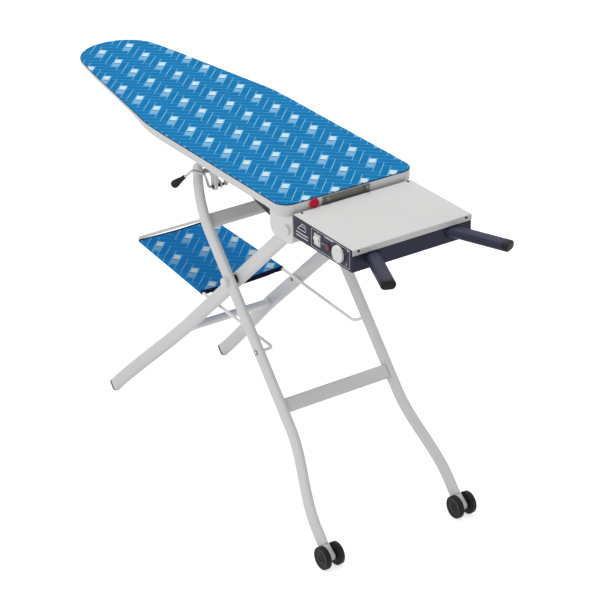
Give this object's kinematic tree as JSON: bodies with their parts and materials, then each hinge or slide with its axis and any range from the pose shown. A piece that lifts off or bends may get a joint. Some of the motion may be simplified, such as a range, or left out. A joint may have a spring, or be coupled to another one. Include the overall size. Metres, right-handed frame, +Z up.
{
  "type": "vacuum ironing table",
  "caption": "Folding vacuum ironing table: heated suction board with cloth cover, iron rest with sliding arms and controls, laundry shelf, scissor legs on feet and twin wheels.",
  "frame": {"origin": "on the floor, under the middle of the whole table's box", "axes": "+X along the board from its narrow end towards the iron rest, +Y across the board away from the controls, +Z up"},
  "size_m": [1.5594, 0.462, 0.888],
  "materials": {
    "black_plastic": "black moulded plastic",
    "cover_fabric": "blue woven cover with a pale herringbone pattern",
    "dark_plastic": "dark grey moulded plastic",
    "grey_paint": "light grey smooth paint",
    "lamp_lens": "dark red translucent lens",
    "navy_paint": "navy blue satin paint",
    "pad_felt": "off-white felt",
    "red_plastic": "glossy red plastic",
    "white_paint": "light grey-white satin powder coat",
    "white_plastic": "white moulded plastic, satin",
    "zinc_steel": "zinc-plated steel"
  },
  "bodies": {
    "table": {"board_tray": "white_paint", "perforated_plate": "zinc_steel", "felt_pad": "pad_felt", "board_cover": "cover_fabric", "heating_element": "zinc_steel", "blower_housing": "dark_plastic", "outlet_grille": "dark_plastic", "fan_motor": "dark_plastic", "rest_housing": "navy_paint", "rest_lid": "grey_paint", "control_panel": "navy_paint", "switch_body": "white_plastic", "pilot_lamp": "lamp_lens", "thermostat": "dark_plastic", "mains_gland": "black_plastic", "end_plate": "zinc_steel", "rest_carrier": "zinc_steel", "arm_guide": "zinc_steel", "latch_bracket": "white_plastic", "height_rail_near": "zinc_steel", "height_rail_far": "zinc_steel", "hinge_bracket_near": "white_plastic", "hinge_bracket_far": "white_plastic", "hinge_pin_near": "white_plastic", "hinge_pin_far": "white_plastic"},
    "fan": {"suction_fan": "black_plastic"},
    "rocker": {"switch_rocker": "white_plastic"},
    "knob": {"thermostat_knob": "white_plastic"},
    "button": {"release_button": "red_plastic"},
    "arm_near": {"support_arm_near": "navy_paint", "arm_cap_near": "black_plastic"},
    "arm_far": {"support_arm_far": "navy_paint", "arm_cap_far": "black_plastic"},
    "lever": {"lever_rod": "zinc_steel", "lever_grip": "black_plastic", "latch_pawl": "zinc_steel"},
    "feet_frame": {"feet_leg_near": "white_paint", "feet_leg_far": "white_paint", "leg_knuckle_near": "white_plastic", "leg_knuckle_far": "white_plastic", "feet_crossbar": "white_paint", "foot_cap_near": "black_plastic", "foot_cap_far": "black_plastic", "scissor_bolt_near": "white_plastic", "scissor_bolt_far": "white_plastic", "scissor_spacer_near": "black_plastic", "scissor_spacer_far": "black_plastic"},
    "wheel_frame": {"wheel_leg_near": "white_paint", "wheel_leg_far": "white_paint", "leg_end_near": "white_plastic", "leg_end_far": "white_plastic", "upper_crossbar": "white_paint", "lower_crossbar": "white_paint", "slide_bar": "zinc_steel"},
    "shelf": {"shelf_wire": "white_paint", "shelf_cloth": "cover_fabric"},
    "wheel_near_outer": {"wheel_near_outer": "black_plastic"},
    "wheel_near_inner": {"wheel_near_inner": "black_plastic"},
    "wheel_far_outer": {"wheel_far_outer": "black_plastic"},
    "wheel_far_inner": {"wheel_far_inner": "black_plastic"}
  },
  "joints": [
    {"name": "leg_fold", "type": "hinge", "parent": "table", "child": "feet_frame", "pos_m": [0.34285, 0, 0.802], "axis": [0, 1, 0], "range_deg": [0, 35]},
    {"name": "scissor_pivot", "type": "hinge", "parent": "feet_frame", "child": "wheel_frame", "pos_m": [0.10075, 0, 0.56902], "axis": [0, 1, 0], "range_deg": [-78, 0]},
    {"name": "shelf_swing", "type": "hinge", "parent": "wheel_frame", "child": "shelf", "pos_m": [0.22857, 0, 0.42404], "axis": [0, 1, 0], "range_deg": [0, 42]},
    {"name": "lever_swing", "type": "hinge", "parent": "table", "child": "lever", "pos_m": [-0.03307, 0, 0.766], "axis": [0, 1, 0], "range_deg": [0, 25]},
    {"name": "fan_spin", "type": "hinge", "parent": "table", "child": "fan", "pos_m": [0.25085, 0, 0.8258], "axis": [0, 0, 1], "continuous": true},
    {"name": "rocker_tilt", "type": "hinge", "parent": "table", "child": "rocker", "pos_m": [0.49245, -0.1674, 0.8387], "axis": [1, 0, 0], "range_deg": [-12, 0]},
    {"name": "knob_turn", "type": "hinge", "parent": "table", "child": "knob", "pos_m": [0.58015, -0.1724, 0.8387], "axis": [0, -1, 0], "range_deg": [0, 270]},
    {"name": "button_press", "type": "slide", "parent": "table", "child": "button", "axis": [-1, 0, 0], "range_m": [0, 0.003], "stiffness_N_per_m": 600, "springref_m": -0.002},
    {"name": "arm_slide_near", "type": "slide", "parent": "table", "child": "arm_near", "axis": [0.9232, -0.3843, 0], "range_m": [-0.125, 0]},
    {"name": "wheel_spin_near_outer", "type": "hinge", "parent": "wheel_frame", "child": "wheel_near_outer", "pos_m": [0.58769, -0.2235, 0.03], "axis": [0, 1, 0], "continuous": true},
    {"name": "wheel_spin_near_inner", "type": "hinge", "parent": "wheel_frame", "child": "wheel_near_inner", "pos_m": [0.58769, -0.1845, 0.03], "axis": [0, 1, 0], "continuous": true},
    {"name": "arm_slide_far", "type": "slide", "parent": "table", "child": "arm_far", "axis": [0.9232, 0.3843, 0], "range_m": [-0.125, 0]},
    {"name": "wheel_spin_far_outer", "type": "hinge", "parent": "wheel_frame", "child": "wheel_far_outer", "pos_m": [0.58769, 0.2235, 0.03], "axis": [0, 1, 0], "continuous": true},
    {"name": "wheel_spin_far_inner", "type": "hinge", "parent": "wheel_frame", "child": "wheel_far_inner", "pos_m": [0.58769, 0.1845, 0.03], "axis": [0, 1, 0], "continuous": true}
  ],
  "couplings": [
    {"joint": "scissor_pivot", "follows": "leg_fold", "ratio": -2.2},
    {"joint": "shelf_swing", "follows": "leg_fold", "ratio": 1.16}
  ]
}
